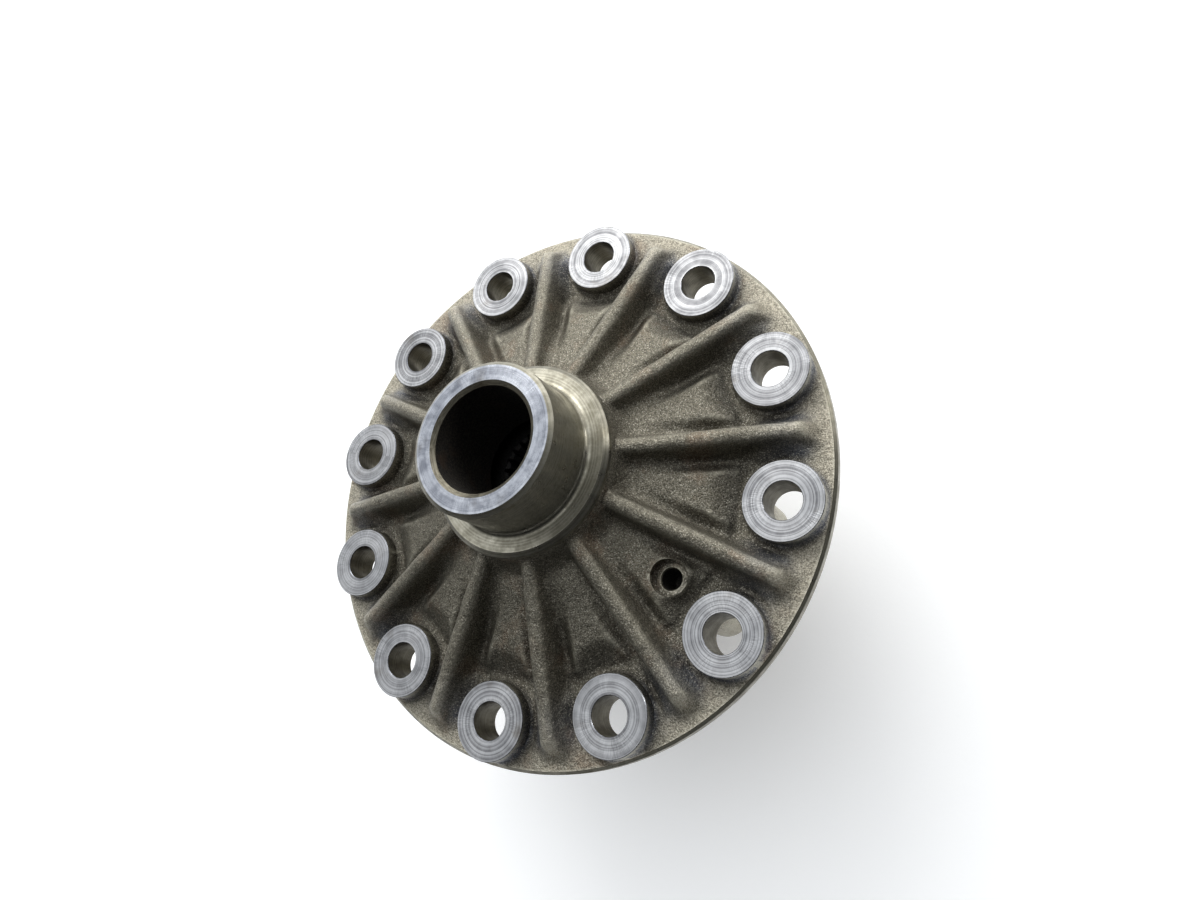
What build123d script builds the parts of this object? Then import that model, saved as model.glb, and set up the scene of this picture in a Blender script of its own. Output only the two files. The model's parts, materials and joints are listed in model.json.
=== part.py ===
from build123d import *
from math import acos, asin, atan, cos, pi, radians, sin, sqrt, tan
import os

# Differential gear assembly of a heavy axle: a two-piece case, a four-arm spider, four bevel
# pinions and two bevel side gears with their bushes and thrust washers. Millimetres.
# The origin is the centre of the ring gear mounting face. +Z is the axis of rotation, out of
# the flange half's bearing journal. The ring gear, its bolts and the bearings aren't fitted.

# ---- driving dimensions ----

# Ring gear flange
bolt_circle_r = 132.0
ring_bolt_count = 12
ring_bolt_hole_r = 9.6
boss_r = 20.0
boss_face_z = 20.0
flange_r = 154.0
flange_front_z = 10.0
flange_rim_z = 4.0
pilot_r = 115.0
pilot_depth = 22.0
turned_edge = 1.5

# Bearing journals, the same at both ends
journal_r = 40.0
journal_length = 33.8
shoulder_face_r = 49.6
shoulder_r = 51.9
shoulder_chamfer = 2.2
journal_chamfer = 2.1
journal_chamfer_length = 1.6
journal_fillet = 2.6
bore_r = 27.7
bore_mouth_r = 30.5
bore_mouth_depth = 1.7
bore_mouth_taper = 58.0

# Flange half's cast web, ribs and bosses
flange_shoulder_z = 51.0
web_hub_z = 33.0
web_outer_r = 106.0
web_outer_z = 17.0
flange_flat_r = 119.0
rib_inner_r = 48.0
rib_outer_r = 141.0
rib_end_r = 147.0
rib_inner_crest_z = 43.4
rib_outer_crest_z = 21.3
rib_end_crest_z = 12.0
rib_inner_root_z = 24.0
rib_outer_root_z = 5.0
rib_crest_width = 7.0
rib_root_width = 14.0
rib_crest_fillet = 3.0
web_fillet = 4.0
plain_rib_outer_r = 82.0
plain_rib_root_z = -92.0
plain_rib_inner_crest_z = -119.0
plain_rib_outer_crest_z = -104.5
dish_r = 26.5
oil_boss_pocket_r = 9.5
oil_boss_pocket_z = 17.5
oil_boss_hole_r = 5.3
oil_boss_hole_depth = 18.0
oil_boss_at = (94.5, -28.3)

# Case body
split_z = -42.0
barrel_r = 89.0
lug_circle_r = 100.5
lug_r = 13.5
lug_ring_r = 102.0
lug_thickness = 18.0
plain_cone_r = 60.0
plain_barrel_end_z = -96.0
plain_cone_z = -112.0
plain_shoulder_z = -122.0
plain_barrel_fillet = 8.0
lug_face_height = 3.0
oil_window_length = 30.0
oil_window_height = 14.0
oil_window_z = -83.0
oil_window_inner_r = 60.0

# Case screws, M12
screw_r = 6.0
screw_length = 45.0
screw_hole_r = 6.6
tapped_hole_r = 6.05
tapped_hole_depth = 28.0
screw_head_across_flats = 18.0
screw_head_height = 8.0
screw_head_bevel = 3.2
screw_point_chamfer = 1.2
screw_washer_r = 10.4
screw_washer_thickness = 2.5

# Bevel gears
gear_module = 6.0
pinion_teeth = 11
side_gear_teeth = 20
pressure_angle = radians(22.5)
face_width = 22.0
flank_points = 6
tooth_gap_overrun = radians(2.5)
tooth_thinning = 0.3
whole_depth = 2.188 * gear_module
gear_edge_chamfer = 1.5
pinion_count = 4
pinion_back_r = 75.0
pinion_bore_r = 14.5
pinion_bore_chamfer = 0.8
side_gear_back = 50.0
side_gear_back_r = 54.0
side_gear_hub_r = 37.95
side_gear_hub_end = 66.0

# Spider
arm_r = 12.5
arm_length = 96.0
arm_flat = 11.6
arm_flat_length = 34.0
arm_flat_middle = 57.0
arm_chamfer = 1.5
spider_hub_r = 30.0
spider_hub_half_height = 14.0
spider_bore_r = 16.0

# Axle spline in the side gears
spline_teeth = 26
spline_minor_r = 23.5
spline_major_r = 26.0
spline_flank_slope = 0.4

# Thrust washers, bushes and their clearances
cavity_r = 77.0
side_pocket_r = 64.0
side_washer_thickness = 2.35
washer_clearance = 0.1
bearing_clearance = 0.06
seat_clearance = 0.02
thrust_washer_play = 0.4
side_washer_margin = 2.0

# ---- derived dimensions ----

hub_tip_z = flange_shoulder_z + journal_length
plain_tip_z = plain_shoulder_z - journal_length
side_seat = side_gear_back + side_washer_thickness + 1.5 * washer_clearance
hub_bore_r = side_gear_hub_r + bearing_clearance
hub_bore_end = side_gear_hub_end + 2.0
past_tip = 2 * journal_length + side_gear_hub_end
bush_r = pinion_bore_r - seat_clearance
arm_angles = [45.0 + 360.0 / pinion_count * step for step in range(pinion_count)]
boss_places = PolarLocations(bolt_circle_r, ring_bolt_count)
lug_places = PolarLocations(lug_circle_r, ring_bolt_count)
rib_places = PolarLocations(0, ring_bolt_count, start_angle=180.0 / ring_bolt_count)

pinion_pitch = atan(pinion_teeth / side_gear_teeth)
side_pitch = pi / 2 - pinion_pitch
cone_distance = gear_module * side_gear_teeth / 2 / sin(side_pitch)
inner_distance = cone_distance - face_width
side_addendum = gear_module * (0.54 + 0.46 * (pinion_teeth / side_gear_teeth) ** 2)
pinion_addendum = 2 * gear_module - side_addendum
thickness_shift = (pinion_addendum - side_addendum) * tan(pressure_angle)

os.makedirs("parts", exist_ok=True)


# ---- helpers ----

def rings(part, radius, height):
    """The part's circular edges of one radius about the Z axis, at one height."""
    return part.edges().filter_by(GeomType.CIRCLE).filter_by(
        lambda edge: abs(edge.radius - radius) < 0.01 and abs(edge.arc_center.Z - height) < 0.01
    )


def arm_plane(angle):
    """A plane at the spider's centre: its normal runs out along an arm and its X points down."""
    direction = (cos(radians(angle)), sin(radians(angle)), 0)
    return Plane(origin=(0, 0, split_z), x_dir=(0, 0, -1), z_dir=direction)


def on_cone(distance, polar):
    """Radius and height of a point at a distance from the gear's apex and an angle to its axis."""
    return distance * sin(polar), distance * cos(polar)


def involute(polar, base):
    """Azimuth of a spherical involute at an angle to the gear's axis, zero up to the base cone."""
    if polar <= base:
        return 0.0
    return acos(cos(polar) / cos(base)) / sin(base) - acos(tan(base) / tan(polar))


def tooth_gap(teeth, pitch, root, face, thickness, start, end):
    """One gap between two bevel teeth, centred on +X, as a solid that tapers to the apex."""
    base = asin(sin(pitch) * cos(pressure_angle))
    beyond = face + tooth_gap_overrun
    gap_at_pitch = pi / teeth - thickness / (gear_module * teeth)
    last = flank_points - 1
    steps = [root + (beyond - root) * step / last for step in range(flank_points)]
    halves = [gap_at_pitch + involute(polar, base) - involute(pitch, base) for polar in steps]

    sections = []
    for height in (start, end):
        flank = [
            (height * tan(polar) * cos(half), height * tan(polar) * sin(half))
            for polar, half in zip(steps, halves)
        ]
        other_flank = [(x, -y) for x, y in flank]
        with BuildSketch(Plane.XY.offset(height)) as section:
            with BuildLine():
                Spline(flank)
                Line(flank[-1], other_flank[-1])
                Spline(other_flank)
                Line(other_flank[0], flank[0])
            make_face()
        sections.append(section.sketch)
    with BuildPart() as gap:
        loft(sections=sections, ruled=True)
    return gap.part


def cast_rib(*stations):
    """A rib with a rounded crest along +X, from stations of (radius, root height, crest height)."""
    sections = []
    for radius, root_z, crest_z in stations:
        with BuildSketch(Plane.YZ.offset(radius)) as section:
            with BuildLine():
                Polyline(
                    (-rib_root_width / 2, root_z),
                    (rib_root_width / 2, root_z),
                    (rib_crest_width / 2, crest_z),
                    (-rib_crest_width / 2, crest_z),
                    close=True,
                )
            make_face()
            crest_corners = section.vertices().sort_by_distance((radius, 0, crest_z))[:2]
            fillet(crest_corners, rib_crest_fillet)
        sections.append(section.sketch)
    with BuildPart() as rib:
        loft(sections=sections, ruled=True)
    return rib


def cone_angles(pitch, addendum):
    """The root and face angles of a gear whose teeth have the common whole depth."""
    root = pitch - atan((whole_depth - addendum) / cone_distance)
    face = pitch + atan(addendum / cone_distance)
    return root, face


# ---- shared forms: built at the origin along +Z, not written out themselves ----

# The space inside one half of the case: pinion sphere, side gear pocket, hub bore and axle bore.
sphere_top = sqrt(cavity_r**2 - side_pocket_r**2)
with BuildPart() as cavity_form:
    with BuildSketch(Plane.XZ):
        with BuildLine():
            Line((0, -1), (cavity_r, -1))
            Line((cavity_r, -1), (cavity_r, 0))
            RadiusArc((cavity_r, 0), (side_pocket_r, sphere_top), -cavity_r)
            Polyline(
                (side_pocket_r, sphere_top),
                (side_pocket_r, side_seat),
                (hub_bore_r, side_seat),
                (hub_bore_r, hub_bore_end),
                (bore_r, hub_bore_end + 8),
                (bore_r, past_tip),
                (0, past_tip),
                (0, -1),
            )
        make_face()
    revolve(axis=Axis.Z)

# The flange half's rib. Its outer end drops to the flange.
rib_form = cast_rib(
    (rib_inner_r, rib_inner_root_z, rib_inner_crest_z),
    (rib_outer_r, rib_outer_root_z, rib_outer_crest_z),
    (rib_end_r, rib_outer_root_z, rib_end_crest_z),
)

# The plain half's rib, on the cone between its shoulder and its barrel.
plain_rib_form = cast_rib(
    (rib_inner_r, plain_rib_root_z, plain_rib_inner_crest_z),
    (plain_rib_outer_r, plain_rib_root_z, plain_rib_outer_crest_z),
)

# A bevel pinion: its teeth, its bore for the bush and its spherical back.
pinion_root, pinion_face = cone_angles(pinion_pitch, pinion_addendum)
pinion_tip_distance = cone_distance / cos(pinion_face - pinion_pitch)
pinion_root_distance = cone_distance / cos(pinion_pitch - pinion_root)
inner_root_r, inner_root_z = on_cone(inner_distance, pinion_root)
inner_tip_r, inner_tip_z = on_cone(inner_distance, pinion_face)
outer_tip_r, outer_tip_z = on_cone(pinion_tip_distance, pinion_face)
pinion_back_edge_r, outer_root_z = on_cone(pinion_root_distance, pinion_root)
with BuildPart() as pinion_form:
    with BuildSketch(Plane.XZ):
        with BuildLine():
            back_z = sqrt(pinion_back_r**2 - pinion_back_edge_r**2)
            bore_back_z = sqrt(pinion_back_r**2 - pinion_bore_r**2)
            Polyline(
                (pinion_bore_r, bore_back_z),
                (pinion_bore_r, inner_root_z),
                (inner_root_r, inner_root_z),
                (inner_tip_r, inner_tip_z),
                (outer_tip_r, outer_tip_z),
                (pinion_back_edge_r, outer_root_z),
                (pinion_back_edge_r, back_z),
            )
            RadiusArc((pinion_back_edge_r, back_z), (pinion_bore_r, bore_back_z), -pinion_back_r)
        make_face()
    revolve(axis=Axis.Z)
    chamfer(rings(pinion_form, pinion_bore_r, inner_root_z), pinion_bore_chamfer)
    pinion_gap = tooth_gap(
        pinion_teeth,
        pinion_pitch,
        pinion_root,
        pinion_face,
        pi / 2 * gear_module + thickness_shift - tooth_thinning,
        inner_tip_z - 2,
        outer_root_z + 1,
    )
    with PolarLocations(0, pinion_teeth):
        add(pinion_gap, mode=Mode.SUBTRACT)

# A side gear: its teeth, its thrust face, its journal and the axle shaft's spline.
side_root, side_face = cone_angles(side_pitch, side_addendum)
side_tip_distance = cone_distance / cos(side_face - side_pitch)
side_root_distance = cone_distance / cos(side_pitch - side_root)
side_inner_root_r, side_inner_root_z = on_cone(inner_distance, side_root)
side_inner_tip_r, side_inner_tip_z = on_cone(inner_distance, side_face)
side_outer_tip_r, side_outer_tip_z = on_cone(side_tip_distance, side_face)
side_outer_root_r, side_outer_root_z = on_cone(side_root_distance, side_root)
with BuildPart() as side_gear_form:
    with BuildSketch(Plane.XZ):
        with BuildLine():
            Polyline(
                (spline_minor_r, side_inner_root_z),
                (side_inner_root_r, side_inner_root_z),
                (side_inner_tip_r, side_inner_tip_z),
                (side_outer_tip_r, side_outer_tip_z),
                (side_outer_root_r, side_outer_root_z),
                (side_gear_back_r, side_gear_back),
                (side_gear_hub_r, side_gear_back),
                (side_gear_hub_r, side_gear_hub_end),
                (spline_minor_r, side_gear_hub_end),
                close=True,
            )
        make_face()
    revolve(axis=Axis.Z)
    chamfer(rings(side_gear_form, side_gear_hub_r, side_gear_hub_end), gear_edge_chamfer)
    chamfer(rings(side_gear_form, spline_minor_r, side_gear_hub_end), gear_edge_chamfer)
    chamfer(rings(side_gear_form, spline_minor_r, side_inner_root_z), gear_edge_chamfer)
    side_gap = tooth_gap(
        side_gear_teeth,
        side_pitch,
        side_root,
        side_face,
        pi / 2 * gear_module - thickness_shift - tooth_thinning,
        side_inner_tip_z - 2,
        side_outer_root_z + 1,
    )
    with PolarLocations(0, side_gear_teeth):
        add(side_gap, mode=Mode.SUBTRACT)
    groove_half = pi * spline_minor_r / spline_teeth / 2
    groove_mouth_r = spline_minor_r - 1
    groove_mouth = groove_half + spline_flank_slope
    groove_root = groove_half - spline_flank_slope * (spline_major_r - spline_minor_r)
    with BuildSketch(Plane.XY.offset(side_inner_root_z)):
        with PolarLocations(0, spline_teeth):
            Polygon(
                (groove_mouth_r, -groove_mouth),
                (spline_major_r, -groove_root),
                (spline_major_r, groove_root),
                (groove_mouth_r, groove_mouth),
                align=None,
            )
    extrude(amount=side_gear_hub_end - side_inner_root_z, mode=Mode.SUBTRACT)

# One hexagon cap screw, head downwards with the underside of the head at the origin.
with BuildPart() as screw_form:
    with BuildSketch(Plane.XY):
        RegularPolygon(radius=screw_head_across_flats / 2, side_count=6, major_radius=False)
    extrude(amount=-screw_head_height)
    with BuildSketch(Plane.XZ):
        with BuildLine():
            Polyline(
                (0, 0),
                (screw_washer_r + 1, 0),
                (screw_washer_r + 1, screw_head_bevel - screw_head_height),
                (screw_head_across_flats / 2 - 0.5, -screw_head_height),
                (0, -screw_head_height),
                close=True,
            )
        make_face()
    revolve(axis=Axis.Z, mode=Mode.INTERSECT)
    with BuildSketch(Plane.XY):
        Circle(screw_r)
    extrude(amount=screw_length)
    chamfer(rings(screw_form, screw_r, screw_length), screw_point_chamfer)


# ---- flange half ----

with BuildPart() as flange_half:
    with BuildSketch(Plane.XZ):
        with BuildLine():
            Polyline(
                (0, hub_tip_z),
                (journal_r - journal_chamfer, hub_tip_z),
                (journal_r, hub_tip_z - journal_chamfer_length),
                (journal_r, flange_shoulder_z),
                (shoulder_face_r, flange_shoulder_z),
                (shoulder_r, flange_shoulder_z - shoulder_chamfer),
                (shoulder_r, web_hub_z),
                (web_outer_r, web_outer_z),
                (flange_flat_r, flange_front_z),
                (flange_r - turned_edge, flange_front_z),
                (flange_r, flange_front_z - turned_edge),
                (flange_r, flange_rim_z),
                (flange_r - flange_rim_z, 0),
                (pilot_r, 0),
                (pilot_r, turned_edge - pilot_depth),
                (pilot_r - turned_edge, -pilot_depth),
                (barrel_r, -pilot_depth),
                (barrel_r, split_z),
                (0, split_z),
                close=True,
            )
        make_face()
    revolve(axis=Axis.Z)
    fillet(rings(flange_half, journal_r, flange_shoulder_z), journal_fillet)
    fillet(rings(flange_half, shoulder_r, web_hub_z), web_fillet)

    # The web is dished round each bolt, then the ribs and bosses stand on it.
    with BuildSketch(Plane.XY.offset(flange_front_z)):
        with boss_places:
            Circle(dish_r)
    extrude(amount=web_hub_z, mode=Mode.SUBTRACT)
    with rib_places:
        add(rib_form.part)
    with BuildSketch(Plane.XY.offset(flange_rim_z)):
        with boss_places:
            Circle(boss_r)
    extrude(amount=boss_face_z - flange_rim_z)

    # Columns on the barrel take the case screws in tapped holes.
    with BuildSketch(Plane.XY.offset(split_z)):
        with lug_places:
            Circle(lug_r)
        Circle(lug_ring_r)
    extrude(amount=-split_z - pilot_depth)
    with BuildSketch(Plane.XY.offset(split_z)):
        with lug_places:
            Circle(tapped_hole_r)
    extrude(amount=tapped_hole_depth, mode=Mode.SUBTRACT)

    with BuildSketch(Plane.XY):
        with boss_places:
            Circle(ring_bolt_hole_r)
    extrude(amount=boss_face_z, mode=Mode.SUBTRACT)

    # A blind tapped hole in a shallow spot-faced pocket beside one boss.
    pocket_reach, pocket_angle = oil_boss_at
    with BuildSketch(Plane.XY.offset(oil_boss_pocket_z)):
        with PolarLocations(pocket_reach, 1, start_angle=pocket_angle):
            Circle(oil_boss_pocket_r)
    extrude(amount=web_hub_z - oil_boss_pocket_z, mode=Mode.SUBTRACT)
    with BuildSketch(Plane.XY.offset(oil_boss_pocket_z)):
        with PolarLocations(pocket_reach, 1, start_angle=pocket_angle):
            Circle(oil_boss_hole_r)
    extrude(amount=-oil_boss_hole_depth, mode=Mode.SUBTRACT)

    with Locations((0, 0, split_z)):
        add(cavity_form.part, mode=Mode.SUBTRACT)
    with BuildSketch(Plane.XY.offset(hub_tip_z)):
        Circle(bore_mouth_r)
    extrude(amount=-bore_mouth_depth, taper=bore_mouth_taper, mode=Mode.SUBTRACT)
    with Locations([arm_plane(angle).location for angle in arm_angles]):
        Cylinder(
            radius=arm_r + seat_clearance,
            height=2 * lug_ring_r,
            align=(Align.CENTER, Align.CENTER, Align.MIN),
            mode=Mode.SUBTRACT,
        )

flange_half.part.label = "flange_half"
export_step(flange_half.part, "parts/flange_half.step")


# ---- plain half ----

with BuildPart() as plain_half:
    with BuildSketch(Plane.XZ):
        with BuildLine():
            Polyline(
                (0, split_z),
                (barrel_r, split_z),
                (barrel_r, plain_barrel_end_z),
                (plain_cone_r, plain_cone_z),
                (shoulder_r, plain_cone_z - 1),
                (shoulder_r, plain_shoulder_z + shoulder_chamfer),
                (shoulder_face_r, plain_shoulder_z),
                (journal_r, plain_shoulder_z),
                (journal_r, plain_tip_z + journal_chamfer_length),
                (journal_r - journal_chamfer, plain_tip_z),
                (0, plain_tip_z),
                close=True,
            )
        make_face()
    revolve(axis=Axis.Z)
    fillet(rings(plain_half, journal_r, plain_shoulder_z), journal_fillet)
    fillet(rings(plain_half, barrel_r, plain_barrel_end_z), plain_barrel_fillet)

    # The bolting flange: a ring with a rounded lug for each case screw.
    with BuildSketch(Plane.XY.offset(split_z)):
        with lug_places:
            Circle(lug_r)
    extrude(amount=-lug_thickness)
    with BuildSketch(Plane.XY.offset(split_z)):
        Circle(lug_ring_r)
    extrude(amount=lug_face_height - lug_thickness)
    with BuildSketch(Plane.XY.offset(split_z)):
        with lug_places:
            Circle(screw_hole_r)
    extrude(amount=-lug_thickness, mode=Mode.SUBTRACT)

    # Short ribs stiffen the end wall round the shoulder.
    with rib_places:
        add(plain_rib_form.part)

    with Locations(Location((0, 0, split_z), (180, 0, 0))):
        add(cavity_form.part, mode=Mode.SUBTRACT)
    with BuildSketch(Plane.XY.offset(plain_tip_z)):
        Circle(bore_mouth_r)
    extrude(amount=bore_mouth_depth, taper=bore_mouth_taper, mode=Mode.SUBTRACT)
    with Locations([arm_plane(angle).location for angle in arm_angles]):
        Cylinder(
            radius=arm_r + seat_clearance,
            height=2 * lug_ring_r,
            align=(Align.CENTER, Align.CENTER, Align.MIN),
            mode=Mode.SUBTRACT,
        )

    # Oil windows between the spider's arms.
    for window_angle in (0, 90, 180, 270):
        outwards = (cos(radians(window_angle)), sin(radians(window_angle)), 0)
        across = (-outwards[1], outwards[0], 0)
        window_plane = Plane(origin=(0, 0, oil_window_z), x_dir=across, z_dir=outwards)
        with BuildSketch(window_plane.offset(oil_window_inner_r)):
            SlotOverall(oil_window_length, oil_window_height)
        extrude(amount=barrel_r, mode=Mode.SUBTRACT)

plain_half.part.label = "plain_half"
export_step(plain_half.part, "parts/plain_half.step")


# ---- case screws and their washers ----

screw_seat_z = split_z - lug_thickness
with BuildPart() as case_screws:
    with Locations((0, 0, screw_seat_z - screw_washer_thickness)):
        with PolarLocations(lug_circle_r, ring_bolt_count):
            add(screw_form.part)

case_screws.part.label = "case_screws"
export_step(case_screws.part, "parts/case_screws.step")

with BuildPart() as case_screw_washers:
    with BuildSketch(Plane.XY.offset(screw_seat_z)):
        with lug_places:
            Circle(screw_washer_r)
            Circle(screw_hole_r, mode=Mode.SUBTRACT)
    extrude(amount=-screw_washer_thickness)

case_screw_washers.part.label = "case_screw_washers"
export_step(case_screw_washers.part, "parts/case_screw_washers.step")


# ---- spider ----

with BuildPart() as spider:
    with BuildSketch(Plane.XY.offset(split_z - spider_hub_half_height)):
        Circle(spider_hub_r)
    extrude(amount=2 * spider_hub_half_height)
    with Locations([arm_plane(angle).location for angle in arm_angles]):
        Cylinder(arm_r, arm_length, align=(Align.CENTER, Align.CENTER, Align.MIN))
    arm_ends = spider.edges().filter_by(GeomType.CIRCLE).filter_by(
        lambda edge: abs(edge.radius - arm_r) < 0.01 and edge.arc_center.length > arm_length
    )
    chamfer(arm_ends, arm_chamfer)

    # Flats above and below each arm carry oil to the bushes.
    for angle in arm_angles:
        for side in (1, -1):
            with BuildSketch(Plane.XY.offset(split_z + side * arm_flat)):
                with PolarLocations(arm_flat_middle, 1, start_angle=angle):
                    Rectangle(arm_flat_length, 2 * arm_r)
            extrude(amount=side * arm_r, mode=Mode.SUBTRACT)

    with BuildSketch(Plane.XY.offset(split_z - spider_hub_half_height)):
        Circle(spider_bore_r)
    extrude(amount=2 * spider_hub_half_height, mode=Mode.SUBTRACT)

spider.part.label = "spider"
export_step(spider.part, "parts/spider.step")


# ---- pinions with their bushes and spherical washers ----

bush_front_z = inner_root_z + pinion_bore_chamfer
bush_back_z = sqrt(pinion_back_r**2 - pinion_bore_r**2) - 1
washer_inner_r = pinion_back_r + washer_clearance
washer_outer_r = cavity_r - seat_clearance

with BuildPart() as bush_form:
    with BuildSketch(Plane.XY.offset(bush_front_z)):
        Circle(bush_r)
        Circle(arm_r + bearing_clearance, mode=Mode.SUBTRACT)
    extrude(amount=bush_back_z - bush_front_z)

with BuildPart() as pinion_washer_form:
    Sphere(washer_outer_r)
    Sphere(washer_inner_r, mode=Mode.SUBTRACT)
    with BuildSketch(Plane.XY):
        Circle(pinion_back_edge_r)
        Circle(arm_r + thrust_washer_play, mode=Mode.SUBTRACT)
    extrude(amount=cavity_r, mode=Mode.INTERSECT)

for number, angle in enumerate(arm_angles, start=1):
    place = arm_plane(angle).location
    with BuildPart() as pinion:
        with Locations(place):
            add(pinion_form.part)
    pinion.part.label = f"pinion_{number}"
    export_step(pinion.part, f"parts/pinion_{number}.step")

    with BuildPart() as pinion_bush:
        with Locations(place):
            add(bush_form.part)
    pinion_bush.part.label = f"pinion_bush_{number}"
    export_step(pinion_bush.part, f"parts/pinion_bush_{number}.step")

    with BuildPart() as pinion_washer:
        with Locations(place):
            add(pinion_washer_form.part)
    pinion_washer.part.label = f"pinion_washer_{number}"
    export_step(pinion_washer.part, f"parts/pinion_washer_{number}.step")


# ---- side gears with their thrust washers ----

# The flange side gear has a gap over each pinion's tooth, the plain one a tooth in each gap.
gap_pitch = 360.0 / side_gear_teeth
side_gear_places = {
    "flange": Location((0, 0, split_z), (0, 0, arm_angles[0])),
    "plain": Location((0, 0, split_z), (180, 0, arm_angles[0] + gap_pitch / 2)),
}

with BuildPart() as side_washer_form:
    with BuildSketch(Plane.XY.offset(side_gear_back + washer_clearance)):
        Circle(side_pocket_r - side_washer_margin)
        Circle(side_gear_hub_r + thrust_washer_play, mode=Mode.SUBTRACT)
    extrude(amount=side_washer_thickness)

for side, place in side_gear_places.items():
    with BuildPart() as side_gear:
        with Locations(place):
            add(side_gear_form.part)
    side_gear.part.label = f"{side}_side_gear"
    export_step(side_gear.part, f"parts/{side}_side_gear.step")

    with BuildPart() as side_washer:
        with Locations(place):
            add(side_washer_form.part)
    side_washer.part.label = f"{side}_side_washer"
    export_step(side_washer.part, f"parts/{side}_side_washer.step")
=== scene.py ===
import json
from math import asin, cos, degrees, pi, radians, sin, sqrt, tan

import bmesh
import bpy
import numpy as np
from mathutils import Matrix, Vector


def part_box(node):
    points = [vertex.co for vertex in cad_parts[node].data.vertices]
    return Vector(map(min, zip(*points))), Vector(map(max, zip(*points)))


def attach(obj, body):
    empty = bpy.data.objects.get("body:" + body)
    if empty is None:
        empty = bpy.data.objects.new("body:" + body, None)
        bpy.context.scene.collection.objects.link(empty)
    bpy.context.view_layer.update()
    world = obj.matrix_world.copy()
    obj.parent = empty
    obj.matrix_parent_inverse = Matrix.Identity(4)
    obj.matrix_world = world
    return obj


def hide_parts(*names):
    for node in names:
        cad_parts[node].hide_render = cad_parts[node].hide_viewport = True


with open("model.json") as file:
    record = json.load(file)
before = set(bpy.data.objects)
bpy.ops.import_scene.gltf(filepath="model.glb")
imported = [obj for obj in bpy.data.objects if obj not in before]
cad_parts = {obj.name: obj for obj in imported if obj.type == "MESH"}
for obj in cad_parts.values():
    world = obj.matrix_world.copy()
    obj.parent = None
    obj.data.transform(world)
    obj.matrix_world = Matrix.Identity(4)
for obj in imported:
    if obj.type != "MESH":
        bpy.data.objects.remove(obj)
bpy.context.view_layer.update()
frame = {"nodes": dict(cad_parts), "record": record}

# The looks of a differential gear assembly. The two case halves are rebuilt as detailed castings
# with machined areas, and the other pieces keep their CAD shapes and get their finishes here.
# Lengths in this script are millimetres in the frame's axes until they become mesh coordinates.

MM = 0.001
mounts = {mount["name"]: mount for mount in frame["record"]["mounts"]}


def mount_size(name, key):
    return mounts[name]["dims"][key]


def mount_place(name):
    return [value / MM for value in mounts[name]["pos_m"]]


# ---- sizes from the frame ----

flange_low, flange_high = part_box("flange_half")
plain_low, plain_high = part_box("plain_half")
hub_tip_z = flange_high.z / MM
split_z = flange_low.z / MM
plain_tip_z = plain_low.z / MM
flange_r = flange_high.x / MM
lug_outer_r = plain_high.x / MM
bolt_circle_r = mount_size("ring_gear_bolts", "pcd_mm") / 2
bolt_count = mount_size("ring_gear_bolts", "count")
bolt_hole_r = mount_size("ring_gear_bolts", "hole_r_mm")
pilot_r = mount_size("ring_gear_pilot", "r_mm")
journal_r = mount_size("flange_journal", "r_mm")
bore_r = mount_size("flange_axle_bore", "r_mm")
shoulder_z = mount_place("flange_bearing_seat")[2]
plain_shoulder_z = mount_place("plain_bearing_seat")[2]
oil_hole_r = mount_size("handling_hole", "r_mm")
oil_hole_depth = mount_size("handling_hole", "length_mm")
oil_hole_x, oil_hole_y, oil_hole_middle_z = mount_place("handling_hole")
oil_hole_z = oil_hole_middle_z + oil_hole_depth / 2

# ---- sizes of the castings, as in the CAD model ----

SECTOR = 2 * pi / bolt_count
boss_r = 20.0
boss_face_z = 20.0
flange_front_z = 10.0
flange_rim_z = 4.0
turned_edge = 1.5
machined_bevel = 0.3
pilot_depth = 22.0
shoulder_face_r = 49.6
shoulder_r = 51.9
shoulder_chamfer = 2.2
shoulder_depth = 4.6
journal_chamfer = 2.1
journal_chamfer_length = 1.6
journal_fillet = 3.2
bore_mouth_r = 30.0
bore_mouth_depth = 1.7
lug_r = 13.5
lug_circle_r = lug_outer_r - lug_r
lug_ring_r = 102.0
lug_thickness = 18.0
lug_face_height = 3.0
screw_hole_r = 6.6
tapped_hole_r = 6.05
tapped_hole_depth = 28.0
arm_bore_r = 12.52
arm_angles = [radians(45 + 90 * step) for step in range(4)]
cavity_r = 77.0
side_pocket_r = 64.0
side_seat = 52.5
hub_bore_r = 38.01
hub_bore_end = 68.0
hub_bore_taper = 8.0
barrel_r = 89.0
barrel_fillet = 8.0
barrel_end = 96.0
cone_r = 60.0
cone_height = 112.0
window_length = 30.0
window_height = 14.0
window_inner_r = 60.0
window_place = 83.0

# Finishes of the castings' faces, in the order of their material slots.
FINISHES = ("cast", "turned", "faced", "spot_faced", "drilled", "bore")


# ---- materials ----

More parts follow.
